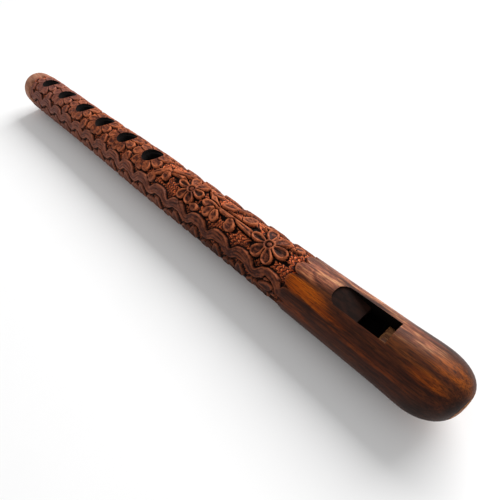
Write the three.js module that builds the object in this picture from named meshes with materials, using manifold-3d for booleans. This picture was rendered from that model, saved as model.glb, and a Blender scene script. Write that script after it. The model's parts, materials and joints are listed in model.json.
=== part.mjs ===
// A hand-carved wooden flute with a blown fipple mouthpiece, in millimetres.
// It lies along X with the mouth end at the low side and its finger holes up, and rests on z = 0.
// Stations are distances along the flute from the mouth tip. Angles are taken round the bore's
// axis from straight up, positive towards +Y.
// Two pieces: flute_body, turned, bored, drilled and carved, and fipple_block, the plug under
// the windway.

import * as THREE from 'three';
import { mergeVertices } from 'three/addons/utils/BufferGeometryUtils.js';
import Module from 'manifold-3d';

// Whole flute
const fluteLength = 323;

// Turned outside, before the carving: the head, and how much wider or slimmer the rest is
const headDiameter = 24;
const headWall = 5;
const mouthSwell = 0.4;
const upperSwell = 0.6;
const middleWaist = 0.4;
const footSwell = 0.2;
const footTaper = 1.7;
const footTaperLength = 16;

// Mouth end: rounded in from all sides, then cut away under the lower lip
const mouthRoundLength = 14.8;
const mouthTipHeight = 5;
const mouthBluntness = 2.4;
const beakLength = 27;
const beakTipHeight = 0;
const beakHollowShares = [0.42, 0.72];

// Window, with a ramp down to the lip that splits the air
const windowStation = 26.4;
const windowLength = 23.2;
const windowWidth = 9.5;
const lipSetback = 11.6;
const lipDepth = 4.2;
const rampEndDepth = 0.9;
const rampEndRound = 4;

// Fipple block, the plug whose flat top is the floor of the windway
const blockGap = 0.3;
const blockReach = 4.2;
const blockChamfer = 1.2;

// Finger holes, on a line turned a little to the right of the window
const fingerHoleDiameter = 9.7;
const fingerHoleCount = 6;
const fingerHolePitch = 25.4;
const firstFingerHoleStation = 169;
const fingerLineTurn = THREE.MathUtils.degToRad(8);

// Carved stretch: sunk ground between a scalloped edge on the head and a plain rim at the foot
const carvedStation = 67;
const carvedDepth = 1.3;
const carvedWallWidth = 0.5;
const scallopLength = 4.6;
const scallopCount = 12;
const scallopTurn = THREE.MathUtils.degToRad(2.5);
const footRimLength = 11.7;
const footEdgeRound = 0.8;

// Motifs left standing on the ground: how deep their walls are rooted in it, how far their tops
// stay under the turned skin, and how far the middle of a petal or leaf is scooped
const motifRoot = 0.4;
const motifDrop = 0.1;
const petalScoop = 0.5;
const leafScoop = 0.4;

// Petals round each finger hole, joined at their feet in one lobed ring
const rosettePetals = 10;
const rosetteReachAlong = 12.2;
const rosetteReachAround = 10.4;

// Wavy ribbon on each side of the row of finger holes, and the leaves that hang from its crests
const ribbonTurn = THREE.MathUtils.degToRad(68.5);
const ribbonSwing = THREE.MathUtils.degToRad(7.5);
const ribbonPitch = 14.9;
const ribbonWidth = 4.1;
const ribbonStart = 1;
const sideLeafTurn = THREE.MathUtils.degToRad(15);
const sideLeafLength = 7.4;
const sideLeafWidth = 4.6;

// Garden of two flowers with stems and leaves, between the head and the first finger hole
const gardenTurn = THREE.MathUtils.degToRad(40);
const flowerReach = 9.2;
const petalWidth = 4.8;
const flowerHub = 4.6;
const flowerButton = 2.2;
const stemWidth = 2.4;
const gardenLeafLength = 7;
const gardenLeafWidth = 4.4;

// Vine on the underside: a low stem, and pairs of leaves that point away from the balance point,
// where the flute rests on the first two pairs, which stand proud and are planed level
const balanceStation = 151;
const vinePitch = 22.4;
const vineStart = 4;
const vineStemWidth = 1.6;
const vineStemDrop = 0.6;
const vineLeafTurn = THREE.MathUtils.degToRad(9);
const vineLeafHeading = THREE.MathUtils.degToRad(62);
const vineLeafLength = 8;
const vineLeafWidth = 4.6;
const vineLeafProud = 0.3;
const vineLeafPlaned = 0.25;
const vineMiddleGap = 2.4;

// Shared values of the cuts and the facets
const overrun = 2;
const sidesAround = 72;
const groundSides = 24;
const boreSides = 48;
const fingerHoleSides = 24;
const mouthRings = 8;
const footRimRings = 2;
const footEdgeRings = 3;
const groundRings = 5;
const ribbonSteps = 4;
const stemSteps = 8;
const hubSides = 8;
const profileSteps = 12;

// Outlines of a petal and a leaf: shares of the length, and of the half width there
const petalShares = [[0, 0.3], [0.6, 1]];
const leafShares = [[0, 0.4], [0.5, 1]];
const scoopShare = 0.55;

// Edge of a rosette petal from one notch to the next: shares of its turn and of its reach
const lobeShares = [[0, 0.74], [0.33, 1], [0.67, 1]];

// Garden places: shares of the way from the head to the first finger hole, and of the garden's turn
const flowerShares = [[0.142, 0.09], [0.633, 0.1]];
const flowerPetals = 6;
const stemShares = [
  [[0.9, 0.95], [0.866, 0.45], [0.83, 0.05], [0.79, -0.18], [0.75, -0.22], [0.713, -0.15]],
  [[0.8, -0.25], [0.754, -0.45], [0.695, -0.73], [0.636, -0.85], [0.577, -0.75], [0.53, -0.45],
    [0.495, -0.15], [0.454, 0.18]],
  [[0.46, 0.15], [0.389, 0.09], [0.319, 0.1], [0.238, 0.15]],
  [[0.425, -0.12], [0.366, -0.08], [0.319, -0.2], [0.288, -0.42]],
];
const gardenLeafShares = [
  [0.319, -0.22, 0.6],
  [0.446, -0.25, 0.57],
  [0.456, 0.12, 0.02],
  [0.461, 0.22, 0.17],
  [0.447, 0.25, 0.31],
  [0.359, 0.2, 0.34],
  [0.813, 0.05, 0.28],
  [0.076, -0.55, 0.6],
  [0.23, -0.7, 0.56],
  [0.58, 0.8, 0.47],
];

const boreRadius = headDiameter / 2 - headWall;
const lastFingerHoleStation = firstFingerHoleStation + (fingerHoleCount - 1) * fingerHolePitch;
const footRimStation = fluteLength - footRimLength;
const windwayFloorHeight = Math.sqrt(boreRadius ** 2 - (windowWidth / 2) ** 2);
const widest = headDiameter + Math.max(mouthSwell, upperSwell, footSwell);
const reach = widest / 2 + overrun;

const wasm = await Module();
wasm.setup();

// Manifold solid from a closed three.js geometry
function solid(geometry) {
  const bare = geometry.clone();
  bare.deleteAttribute('normal');
  bare.deleteAttribute('uv');
  const merged = mergeVertices(bare);
  return new wasm.Manifold(new wasm.Mesh({
    numProp: 3,
    vertProperties: new Float32Array(merged.attributes.position.array),
    triVerts: new Uint32Array(merged.index.array),
  }));
}

// Named mesh from a finished manifold solid
function piece(name, finished, material) {
  const { vertProperties, triVerts } = finished.getMesh();
  const geometry = new THREE.BufferGeometry();
  geometry.setAttribute('position', new THREE.BufferAttribute(vertProperties, 3));
  geometry.setIndex(new THREE.BufferAttribute(triVerts, 1));
  geometry.computeVertexNormals();
  const mesh = new THREE.Mesh(geometry, material);
  mesh.name = name;
  return mesh;
}

// Turned radius of the uncut stick at a station
function turnedRadius(station) {
  const places = [
    [mouthRoundLength, mouthSwell],
    [windowStation, 0],
    [carvedStation, 0],
    [firstFingerHoleStation, upperSwell],
    [(firstFingerHoleStation + lastFingerHoleStation) / 2, -middleWaist],
    [fluteLength - footTaperLength, footSwell],
    [fluteLength, footSwell - footTaper],
  ];
  for (let i = 1; i < places.length; i += 1) {
    const [from, before] = places[i - 1];
    const [to, after] = places[i];
    if (station < to) {
      const share = THREE.MathUtils.smoothstep(station, from, to);
      return (headDiameter + THREE.MathUtils.lerp(before, after, share)) / 2;
    }
  }
  return (headDiameter + footSwell - footTaper) / 2;
}

// Station of the scalloped edge at an angle: round lobes towards the foot, sharp notches between
function scallopStation(angle) {
  const lobe = 2 * Math.PI / scallopCount;
  const offset = THREE.MathUtils.euclideanModulo(angle - scallopTurn + lobe / 2, lobe);
  const across = 2 * offset / lobe - 1;
  return carvedStation - scallopLength * (1 - Math.sqrt(Math.max(1 - across ** 2, 0)));
}

// One ring of the outer skin. Its station and radius may change with the angle.
function ring(stationAt, radiusAt, closing = 1, sides = sidesAround) {
  const points = [];
  for (let i = 0; i < sides; i += 1) {
    const angle = (i + 0.5) * 2 * Math.PI / sides;
    const radius = radiusAt(angle);
    points.push(new THREE.Vector3(
      stationAt(angle),
      radius * Math.sin(angle) * closing,
      THREE.MathUtils.lerp(mouthTipHeight, radius * Math.cos(angle), closing),
    ));
  }
  return points;
}

// The rings of the rounded mouth end, on a blunt superellipse
function mouthRingList() {
  const rings = [];
  for (let i = 1; i <= mouthRings; i += 1) {
    const turn = i / mouthRings * Math.PI / 2;
    const closing = Math.sin(turn) ** (2 / mouthBluntness);
    const station = mouthRoundLength * (1 - Math.max(Math.cos(turn), 0) ** (2 / mouthBluntness));
    rings.push(ring(() => station, () => turnedRadius(mouthRoundLength), closing));
  }
  return rings;
}

// The rings of the plain head and the scalloped step down to the carved ground
function headRingList() {
  const headEnd = carvedStation - scallopLength - carvedWallWidth;
  const plain = [windowStation, windowStation + windowLength, headEnd];
  const rings = plain.map((station) => ring(() => station, () => turnedRadius(station)));
  rings.push(ring(scallopStation, () => turnedRadius(carvedStation)));
  rings.push(ring(
    (angle) => scallopStation(angle) + carvedWallWidth,
    () => turnedRadius(carvedStation) - carvedDepth,
  ));
  return rings;
}

// The rings of the carved ground, in even steps between its two edges
function groundRingList() {
  const from = carvedStation + 2 * carvedWallWidth;
  const to = footRimStation - carvedWallWidth;
  const rings = [];
  for (let i = 0; i <= groundRings; i += 1) {
    const station = THREE.MathUtils.lerp(from, to, i / groundRings);
    rings.push(ring(() => station, () => turnedRadius(station) - carvedDepth, 1, groundSides));
  }
  return rings;
}

// The rings of the plain rim, with its rounded outer edge
function footRingList() {
  const rings = [];
  for (let i = 0; i < footRimRings; i += 1) {
    const plainEnd = fluteLength - footEdgeRound;
    const station = THREE.MathUtils.lerp(footRimStation, plainEnd, i / footRimRings);
    rings.push(ring(() => station, () => turnedRadius(station)));
  }
  for (let i = 0; i <= footEdgeRings; i += 1) {
    const turn = i / footEdgeRings * Math.PI / 2;
    const station = fluteLength - footEdgeRound * (1 - Math.sin(turn));
    const radius = turnedRadius(fluteLength) - footEdgeRound * (1 - Math.cos(turn));
    rings.push(ring(() => station, () => radius));
  }
  return rings;
}

// Triangles between two rings. One may have half as many sides as the other.
function stitch(low, lowSides, high, highSides) {
  const index = [];
  const sides = Math.max(lowSides, highSides);
  for (let i = 0; i < sides; i += 1) {
    const next = (i + 1) % sides;
    const [a, b] = [i, next].map((side) => low + Math.floor(side * lowSides / sides));
    const [c, d] = [i, next].map((side) => high + Math.floor(side * highSides / sides));
    if (c !== d) index.push(a, c, d);
    if (a !== b) index.push(a, d, b);
  }
  return index;
}

// Closed skin over a list of rings, with a point at each end
function skin(rings, firstPoint, lastPoint) {
  const points = [firstPoint, ...rings.flat(), lastPoint];
  const last = points.length - 1;
  const index = [];
  let low = 1;
  for (let j = 1; j < rings.length; j += 1) {
    const high = low + rings[j - 1].length;
    index.push(...stitch(low, rings[j - 1].length, high, rings[j].length));
    low = high;
  }
  for (let i = 0; i < sidesAround; i += 1) {
    const next = (i + 1) % sidesAround;
    index.push(0, 1 + i, 1 + next, last, low + next, low + i);
  }
  const geometry = new THREE.BufferGeometry().setFromPoints(points);
  geometry.setIndex(index);
  return geometry;
}

// Point at a station and angle, this far over the turned skin
function skinPoint([station, angle], lift) {
  const radius = turnedRadius(station) + lift;
  return new THREE.Vector3(station, radius * Math.sin(angle), radius * Math.cos(angle));
}

// Station and angle at a distance along and across a heading on the unrolled skin
function stepped([station, angle], heading, along, aside) {
  const around = along * Math.sin(heading) + aside * Math.cos(heading);
  return [
    station + along * Math.cos(heading) - aside * Math.sin(heading),
    angle + around / (headDiameter / 2),
  ];
}

// Solid with a wall all round an outline, rooted in the ground, and a top that is scooped
function boss(outline, middle, lift, scoop) {
  const root = -carvedDepth - motifRoot;
  const count = outline.length;
  const points = [
    ...outline.map((place) => skinPoint(place, root)),
    ...outline.map((place) => skinPoint(place, lift)),
    skinPoint(middle, root),
    skinPoint(middle, lift - scoop),
  ];
  const index = [];
  for (let i = 0; i < count; i += 1) {
    const next = (i + 1) % count;
    index.push(i, next, count + next, i, count + next, count + i);
    index.push(2 * count, next, i, 2 * count + 1, count + i, count + next);
  }
  const geometry = new THREE.BufferGeometry().setFromPoints(points);
  geometry.setIndex(index);
  return solid(geometry);
}

// Petal or leaf from its base point along a heading
function blade(base, heading, length, width, shares, lift, scoop) {
  const edge = (side) => shares.map(([along, aside]) => (
    stepped(base, heading, along * length, side * aside * width / 2)
  ));
  const tip = stepped(base, heading, length, 0);
  const outline = [...edge(-1), tip, ...edge(1).reverse()];
  return boss(outline, stepped(base, heading, scoopShare * length, 0), lift, scoop);
}

// Solid band between two rows of places, the second on the left of the first
function band(right, left, lift, closed = false) {
  const root = -carvedDepth - motifRoot;
  const count = right.length;
  const points = [root, lift].flatMap((height) => (
    [...right, ...left].map((place) => skinPoint(place, height))
  ));
  const quad = (a, b, c, d) => [a, b, c, a, c, d];
  const index = [];
  for (let i = 0; i < (closed ? count : count - 1); i += 1) {
    const next = (i + 1) % count;
    const [low, high] = [0, 2 * count];
    index.push(
      ...quad(high + i, high + next, high + count + next, high + count + i),
      ...quad(low + count + i, low + count + next, low + next, low + i),
      ...quad(low + i, low + next, high + next, high + i),
      ...quad(low + count + next, low + count + i, high + count + i, high + count + next),
    );
  }
  if (!closed) {
    const end = count - 1;
    index.push(
      ...quad(0, 2 * count, 3 * count, count),
      ...quad(end, count + end, 3 * count + end, 2 * count + end),
    );
  }
  const geometry = new THREE.BufferGeometry().setFromPoints(points);
  geometry.setIndex(index);
  return solid(geometry);
}

// Lobed ring of petals round each finger hole, whose middle the hole takes away
function rosette(number) {
  const centre = [firstFingerHoleStation + number * fingerHolePitch, -fingerLineTurn];
  const rows = [[], []];
  for (let petal = 0; petal < rosettePetals; petal += 1) {
    for (const [turnShare, reachShare] of lobeShares) {
      const way = (petal + turnShare) * 2 * Math.PI / rosettePetals;
      const ends = new THREE.Vector2(
        Math.cos(way) / rosetteReachAlong,
        Math.sin(way) / rosetteReachAround,
      );
      rows[0].push(stepped(centre, way, fingerHoleDiameter / 2 - motifRoot, 0));
      rows[1].push(stepped(centre, way, reachShare / ends.length(), 0));
    }
  }
  return band(rows[1], rows[0], -motifDrop, true);
}

// The first crest of both ribbons, half a pitch past the first flower
function ribbonCrest() {
  return gardenStation(flowerShares[0]) + ribbonPitch / 2;
}

// Angle of a ribbon's middle from the finger holes: broad crests near them and narrow troughs
function ribbonMiddle(station) {
  const phase = (station - ribbonCrest()) / ribbonPitch * 2 * Math.PI;
  const wave = Math.cos(phase) + (1 - Math.cos(2 * phase)) / 4;
  return ribbonTurn - ribbonSwing * wave;
}

// One ribbon with its leaves, on one side of the finger holes
function ribbon(side) {
  const from = carvedStation + ribbonStart;
  const to = footRimStation - ribbonStart;
  const step = ribbonPitch / ribbonSteps;
  const rows = [[], []];
  const place = (station) => [station, -fingerLineTurn + side * ribbonMiddle(station)];
  for (let station = from; station < to; station += step) {
    const [[, before], [, after]] = [place(station - step / 2), place(station + step / 2)];
    const heading = Math.atan2((after - before) * headDiameter / 2, step);
    rows[0].push(stepped(place(station), heading, 0, -ribbonWidth / 2));
    rows[1].push(stepped(place(station), heading, 0, ribbonWidth / 2));
  }
  const motifs = [band(...rows, -motifDrop)];
  const end = footRimStation - sideLeafWidth;
  for (let station = ribbonCrest(); station < end; station += 2 * ribbonPitch) {
    const base = [station, -fingerLineTurn + side * (ribbonTurn + sideLeafTurn)];
    motifs.push(blade(
      base, side * Math.PI / 2, sideLeafLength, sideLeafWidth, leafShares, -motifDrop, leafScoop,
    ));
  }
  return motifs;
}

// Station of a place in the garden
function gardenStation([share]) {
  return THREE.MathUtils.lerp(carvedStation, firstFingerHoleStation, share);
}

// Station and angle of a place in the garden
function gardenPlace(shares) {
  return [gardenStation(shares), gardenTurn * shares[1]];
}

// A flower of scooped petals round a button in a ring
function flower(centre) {
  const motifs = [];
  for (let petal = 0; petal < flowerPetals; petal += 1) {
    const heading = petal * 2 * Math.PI / flowerPetals;
    const start = flowerButton / 2;
    motifs.push(blade(
      stepped(centre, heading, start, 0), heading, flowerReach - start, petalWidth,
      petalShares, -motifDrop, petalScoop,
    ));
  }
  const rim = [];
  for (let side = 0; side < hubSides; side += 1) {
    rim.push(stepped(centre, side * 2 * Math.PI / hubSides, flowerHub / 2, 0));
  }
  motifs.push(boss(rim, centre, 0, -motifDrop));
  return motifs;
}

// A stem of even width along a smooth curve through its places
function stem(shares) {
  const middles = shares.map((share) => gardenPlace(share));
  const radius = headDiameter / 2;
  const knots = middles.map(([station, angle]) => new THREE.Vector3(station, angle * radius, 0));
  const curve = new THREE.CatmullRomCurve3(knots);
  const rows = [[], []];
  for (let i = 0; i <= stemSteps; i += 1) {
    const at = curve.getPoint(i / stemSteps);
    const ahead = curve.getTangent(i / stemSteps);
    const heading = Math.atan2(ahead.y, ahead.x);
    rows[0].push(stepped([at.x, at.y / radius], heading, 0, -stemWidth / 2));
    rows[1].push(stepped([at.x, at.y / radius], heading, 0, stemWidth / 2));
  }
  return band(...rows, -motifDrop);
}

// Both flowers, with the stems and leaves between them
function garden() {
  const leaves = gardenLeafShares.map(([along, aside, headingShare]) => blade(
    gardenPlace([along, aside]), headingShare * 2 * Math.PI,
    gardenLeafLength, gardenLeafWidth, leafShares, -motifDrop, leafScoop,
  ));
  const flowers = flowerShares.flatMap((shares) => flower(gardenPlace(shares)));
  return [...flowers, ...stemShares.map((shares) => stem(shares)), ...leaves];
}

// The vine on the underside, with its leaves in pairs
function vine() {
  const from = carvedStation + vineStart;
  const under = Math.PI;
  const stemEnds = [from, footRimStation - vineStart];
  const half = vineStemWidth / headDiameter;
  const steps = 2 * groundRings;
  const row = (side) => Array.from({ length: steps + 1 }, (_, i) => (
    [THREE.MathUtils.lerp(...stemEnds, i / steps), under + side * half]
  ));
  const motifs = [band(row(-1), row(1), -vineStemDrop)];
  for (const way of [-1, 1]) {
    const first = balanceStation + way * vineMiddleGap / 2;
    const room = way < 0 ? first - stemEnds[0] : stemEnds[1] - first;
    for (let along = 0; along + vineLeafLength < room; along += vinePitch) {
      const station = first + way * along;
      const proud = widest / 2 - turnedRadius(station) + vineLeafProud;
      for (const side of [-1, 1]) {
        motifs.push(blade(
          [station, under + side * vineLeafTurn],
          side * (way < 0 ? Math.PI - vineLeafHeading : vineLeafHeading),
          vineLeafLength, vineLeafWidth, leafShares, along === 0 ? proud : -motifDrop, leafScoop,
        ));
      }
    }
  }
  return motifs;
}

// What is planed off under the crests that the flute rests on
function restCut() {
  const rest = widest / 2 + vineLeafProud - vineLeafPlaned;
  const shape = new THREE.Shape();
  shape.moveTo(carvedStation, -rest - reach);
  shape.lineTo(footRimStation, -rest - reach);
  shape.lineTo(footRimStation, -rest);
  shape.lineTo(carvedStation, -rest);
  return across(shape, 2 * reach);
}

// Solid of the uncut stick, from the rounded mouth tip to the foot
function stick() {
  const rings = [...mouthRingList(), ...headRingList(), ...groundRingList(), ...footRingList()];
  return solid(skin(
    rings,
    new THREE.Vector3(0, 0, mouthTipHeight),
    new THREE.Vector3(fluteLength, 0, 0),
  ));
}

// Round bar along the flute
function bar(radius, from, to) {
  const geometry = new THREE.CylinderGeometry(radius, radius, to - from, boreSides);
  geometry.rotateZ(Math.PI / 2);
  geometry.translate((from + to) / 2, 0, 0);
  return solid(geometry);
}

// Side profile, in station and height, extruded to a width across the flute
function across(shape, width) {
  const geometry = new THREE.ExtrudeGeometry(shape, {
    depth: width,
    bevelEnabled: false,
    curveSegments: profileSteps,
  });
  geometry.rotateX(Math.PI / 2);
  geometry.translate(0, width / 2, 0);
  return solid(geometry);
}

// What is cut away under the mouth end: a hollow curve that thins it to a beak for the lips
function beakCut() {
  const under = -reach;
  const belly = -turnedRadius(mouthRoundLength);
  const [hollowStation, hollowHeight] = beakHollowShares;
  const shape = new THREE.Shape();
  shape.moveTo(beakLength, under);
  shape.lineTo(beakLength, belly);
  shape.quadraticCurveTo(
    beakLength * hollowStation,
    THREE.MathUtils.lerp(belly, beakTipHeight, hollowHeight),
    0,
    beakTipHeight,
  );
  shape.lineTo(-overrun, beakTipHeight);
  shape.lineTo(-overrun, under);
  return across(shape, 2 * reach);
}

// Plan of the window: square at the windway, and rounded at the far end of the ramp
function windowPlan() {
  const half = windowWidth / 2;
  const end = windowStation + windowLength;
  const shape = new THREE.Shape();
  shape.moveTo(windowStation, -half);
  shape.lineTo(end - rampEndRound, -half);
  shape.absarc(end - rampEndRound, rampEndRound - half, rampEndRound, -Math.PI / 2, 0);
  shape.absarc(end - rampEndRound, half - rampEndRound, rampEndRound, 0, Math.PI / 2);
  shape.lineTo(windowStation, half);
  const geometry = new THREE.ExtrudeGeometry(shape, {
    depth: reach,
    bevelEnabled: false,
    curveSegments: profileSteps / 2,
  });
  return solid(geometry);
}

// The window through the top of the head, and its ramp from the lip up to a low end wall
function windowCut() {
  const surface = headDiameter / 2;
  const lip = windowStation + lipSetback;
  const end = windowStation + windowLength;
  const shape = new THREE.Shape();
  shape.moveTo(windowStation - overrun, 0);
  shape.lineTo(lip, 0);
  shape.lineTo(lip, surface - lipDepth);
  shape.lineTo(end, surface - rampEndDepth);
  shape.lineTo(end + overrun, surface - rampEndDepth);
  shape.lineTo(end + overrun, reach);
  shape.lineTo(windowStation - overrun, reach);
  return across(shape, windowWidth + overrun).intersect(windowPlan());
}

// One finger hole, drilled from outside into the bore
function fingerHoleCut(number) {
  const radius = fingerHoleDiameter / 2;
  const geometry = new THREE.CylinderGeometry(radius, radius, reach, fingerHoleSides);
  geometry.rotateX(Math.PI / 2);
  geometry.translate(firstFingerHoleStation + number * fingerHolePitch, 0, reach / 2);
  geometry.rotateX(fingerLineTurn);
  return solid(geometry);
}

// Side profile of the fipple block: flat windway floor and a chamfered edge at the window
function blockProfile() {
  const end = windowStation + blockReach;
  const shape = new THREE.Shape();
  shape.moveTo(-overrun, -reach);
  shape.lineTo(end, -reach);
  shape.lineTo(end, windwayFloorHeight - blockChamfer);
  shape.lineTo(end - blockChamfer, windwayFloorHeight);
  shape.lineTo(-overrun, windwayFloorHeight);
  return across(shape, 2 * reach);
}

const rosewood = new THREE.MeshStandardMaterial({ color: 0x70402c, roughness: 0.55, metalness: 0 });
const paleWood = new THREE.MeshStandardMaterial({ color: 0xa0713c, roughness: 0.7, metalness: 0 });

const shaped = stick().subtract(beakCut());

function fluteBody() {
  const rosettes = Array.from({ length: fingerHoleCount }, (_, number) => rosette(number));
  const motifs = [...ribbon(-1), ...ribbon(1), ...garden(), ...rosettes, ...vine()];
  const carved = wasm.Manifold.union([shaped, ...motifs]);
  let body = carved.subtract(restCut()).subtract(bar(boreRadius, -overrun, fluteLength + overrun));
  body = body.subtract(windowCut());
  for (let number = 0; number < fingerHoleCount; number += 1) {
    body = body.subtract(fingerHoleCut(number));
  }
  return piece('flute_body', body, rosewood);
}

function fippleBlock() {
  const end = windowStation + blockReach;
  const plug = bar(boreRadius - blockGap, -overrun, end + overrun);
  return piece('fipple_block', plug.intersect(blockProfile()).intersect(shaped), paleWood);
}

const flute = new THREE.Group();
flute.name = 'flute';
flute.add(fluteBody(), fippleBlock());

// The origin goes to the middle of the footprint, at the height the flute rests on
const bounds = new THREE.Box3().setFromObject(flute);
flute.position.set(-fluteLength / 2, 0, -bounds.min.z);

export default flute;
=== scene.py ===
"""A hand-carved wooden fipple flute that lies on a white studio floor.

Sizes are in millimetres until a mesh is made. A station is a distance along the flute from the
mouth tip. A turn is an angle in degrees round the bore's axis, from straight up, positive towards
+Y, which is the camera's side. A heading is a direction on the unrolled surface: 0 points to the
foot and 90 points to the camera's side.
"""

import json
import math

import bpy
import numpy as np
from mathutils import Matrix, Vector


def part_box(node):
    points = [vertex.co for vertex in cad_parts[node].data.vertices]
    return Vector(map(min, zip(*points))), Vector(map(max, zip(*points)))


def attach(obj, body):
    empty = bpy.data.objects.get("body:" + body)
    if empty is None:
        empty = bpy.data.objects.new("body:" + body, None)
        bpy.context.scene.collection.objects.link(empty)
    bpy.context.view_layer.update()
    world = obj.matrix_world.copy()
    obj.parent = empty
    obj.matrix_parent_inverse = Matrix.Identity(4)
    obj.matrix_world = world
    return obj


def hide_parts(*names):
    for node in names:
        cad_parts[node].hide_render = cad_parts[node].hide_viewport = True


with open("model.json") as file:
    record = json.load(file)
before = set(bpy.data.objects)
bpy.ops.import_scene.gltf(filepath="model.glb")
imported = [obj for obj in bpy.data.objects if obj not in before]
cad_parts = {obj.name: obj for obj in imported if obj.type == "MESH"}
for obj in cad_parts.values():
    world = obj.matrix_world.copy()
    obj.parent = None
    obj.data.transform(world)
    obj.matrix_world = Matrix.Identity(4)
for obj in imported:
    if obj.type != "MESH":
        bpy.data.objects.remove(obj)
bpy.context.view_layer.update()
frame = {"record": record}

MM = 0.001

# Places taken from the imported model. The tip lies at the height of the bore's axis.
body_low, body_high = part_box("flute_body")
openings = {o["name"]: o["box_m"] for o in frame["record"]["physics"]["openings"]}
bore_low, bore_high = openings["bore"]
FLUTE_LENGTH = (body_high.x - body_low.x) / MM
AXIS_HEIGHT = (bore_low[2] + bore_high[2]) / 2 / MM
TIP = np.array([body_low.x / MM, 0, AXIS_HEIGHT])

# Turned stick: the head's diameter, and how much wider or slimmer the rest is
HEAD_DIAMETER = 24.0
MOUTH_SWELL = 0.4
UPPER_SWELL = 0.6
MIDDLE_WAIST = 0.4
FOOT_SWELL = 0.2
FOOT_TAPER = 1.7
FOOT_TAPER_LENGTH = 16.0
HEAD_WALL = 5.0

# Mouth end, and its rings as shares of the rounding's quarter turn
MOUTH_ROUND_LENGTH = 14.8
MOUTH_TIP_HEIGHT = 5.0
MOUTH_BLUNTNESS = 2.4
MOUTH_RINGS = np.concatenate([np.linspace(0.06, 0.7, 9), np.linspace(0.73, 1, 9)])
BEAK_LENGTH = 27.0
BEAK_TIP_HEIGHT = 0.0
BEAK_HOLLOW_SHARES = (0.42, 0.72)
BEAK_STEPS = 60
BEAK_EDGE_ROUND = 1.2

# Window, ramp and block
WINDOW_STATION = 26.4
WINDOW_LENGTH = 23.2
WINDOW_WIDTH = 9.5
WINDOW_EDGE_DROP = 0.12
LIP_SETBACK = 11.6
LIP_DEPTH = 4.2
RAMP_END_DEPTH = 0.9
RAMP_END_ROUND = 4.0
BLOCK_GAP = 0.3
BLOCK_REACH = 4.2
BLOCK_CHAMFER = 1.2

# Finger holes, whose burnt edge is drawn out more on the far side
HOLE_DIAMETER = 9.7
HOLE_EDGE = 0.35
HOLE_EDGE_DRAWN = 0.7
HOLE_EDGE_DEPTH = 2.0
HOLE_RIM_DROP = 0.2
HOLE_COUNT = 6
HOLE_PITCH = 25.4
FIRST_HOLE_STATION = 169.0
HOLE_TURN = -8.0

# Carved stretch, from the scallops on the head's edge to a plain rim at the foot
CARVED_STATION = 67.0
SCALLOP_LENGTH = 4.6
SCALLOP_COUNT = 12
SCALLOP_TURN = 2.5
SCALLOP_HOLD = 0.6
SCALLOP_FADE = 10.0
FOOT_RIM_LENGTH = 11.7
FOOT_EDGE_ROUND = 0.8
FOOT_EDGE_RINGS = 5
GROUND_DEPTH = 1.3
GROUND_EDGE = 0.5
GROUND_UNEVEN = 0.2
SKIN_UNEVEN = 0.07
POCKET_DEPTH = 2.2

# Rows of thumbnail cuts on the ground, which bow and stray. Each starts at a sharp lip.
GOUGE_PITCH = 1.75
GOUGE_ROWS = 34
GOUGE_DEPTH = 0.55
GOUGE_BOW = 3.0
GOUGE_STRAY = 0.9
GOUGE_LIP = 0.15

# Motifs: a steep wall, the rounded edge of its top, a dish inside the rim, a vein and a moat.
# A top, a start, an end and a floor are shares of a width.
WALL_WIDTH = 0.32
WALL_TOP = 0.4
EDGE_DROP = 0.1
EDGE_ROUND = 0.4
RIM_START = 0.5
RIM_END = 1.9
VEIN_WIDTH = 0.3
MOAT_FLOOR = 0.35

# How far a tool runs past what it cuts, a patch of the grid past its motif, and the planed skin
# stays over the floor
OVERRUN = 2.0
MARGIN = 1.5
FLOOR_GAP = 0.004

HEAD_RADIUS = HEAD_DIAMETER / 2
BORE_RADIUS = HEAD_RADIUS - HEAD_WALL
HOLE_RADIUS = HOLE_DIAMETER / 2
HOLE_STATIONS = [FIRST_HOLE_STATION + number * HOLE_PITCH for number in range(HOLE_COUNT)]
LAST_HOLE_STATION = HOLE_STATIONS[-1]
FOOT_RIM_STATION = FLUTE_LENGTH - FOOT_RIM_LENGTH
WINDOW_END = WINDOW_STATION + WINDOW_LENGTH
BLOCK_END = WINDOW_STATION + BLOCK_REACH
WINDWAY_FLOOR = math.sqrt(BORE_RADIUS**2 - (WINDOW_WIDTH / 2) ** 2)
REACH = HEAD_RADIUS + UPPER_SWELL + OVERRUN

# Grid of the carved skin, the faces it keeps, and the sides of round tools
RING_STEP = 0.26
SIDES = 320
AROUND_STEP = 2 * math.pi * HEAD_RADIUS / SIDES
FACES_KEPT = 190_000
BAR_SIDES = 96
DRILL_SIDES = 64


def smooth(low, high, value):
    """0 below low, 1 above high, and a smooth step between."""
    share = np.clip((value - low) / (high - low), 0, 1)
    return share * share * (3 - 2 * share)


def turn_gap(turn, middle):
    """Turn from a middle, between -180 and 180."""
    return np.mod(turn - middle + 180, 360) - 180


def turned_radius(station):
    """Radius of the turned stick before it is carved."""
    places = (
        (MOUTH_ROUND_LENGTH, MOUTH_SWELL),
        (WINDOW_STATION, 0),
        (CARVED_STATION, 0),
        (FIRST_HOLE_STATION, UPPER_SWELL),
        ((FIRST_HOLE_STATION + LAST_HOLE_STATION) / 2, -MIDDLE_WAIST),
        (FLUTE_LENGTH - FOOT_TAPER_LENGTH, FOOT_SWELL),
        (FLUTE_LENGTH, FOOT_SWELL - FOOT_TAPER),
    )
    wider = np.full(np.shape(station), float(places[0][1]))
    for (start, before), (end, after) in zip(places, places[1:]):
        wider = wider + (after - before) * smooth(start, end, station)
    return (HEAD_DIAMETER + wider) / 2


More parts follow.
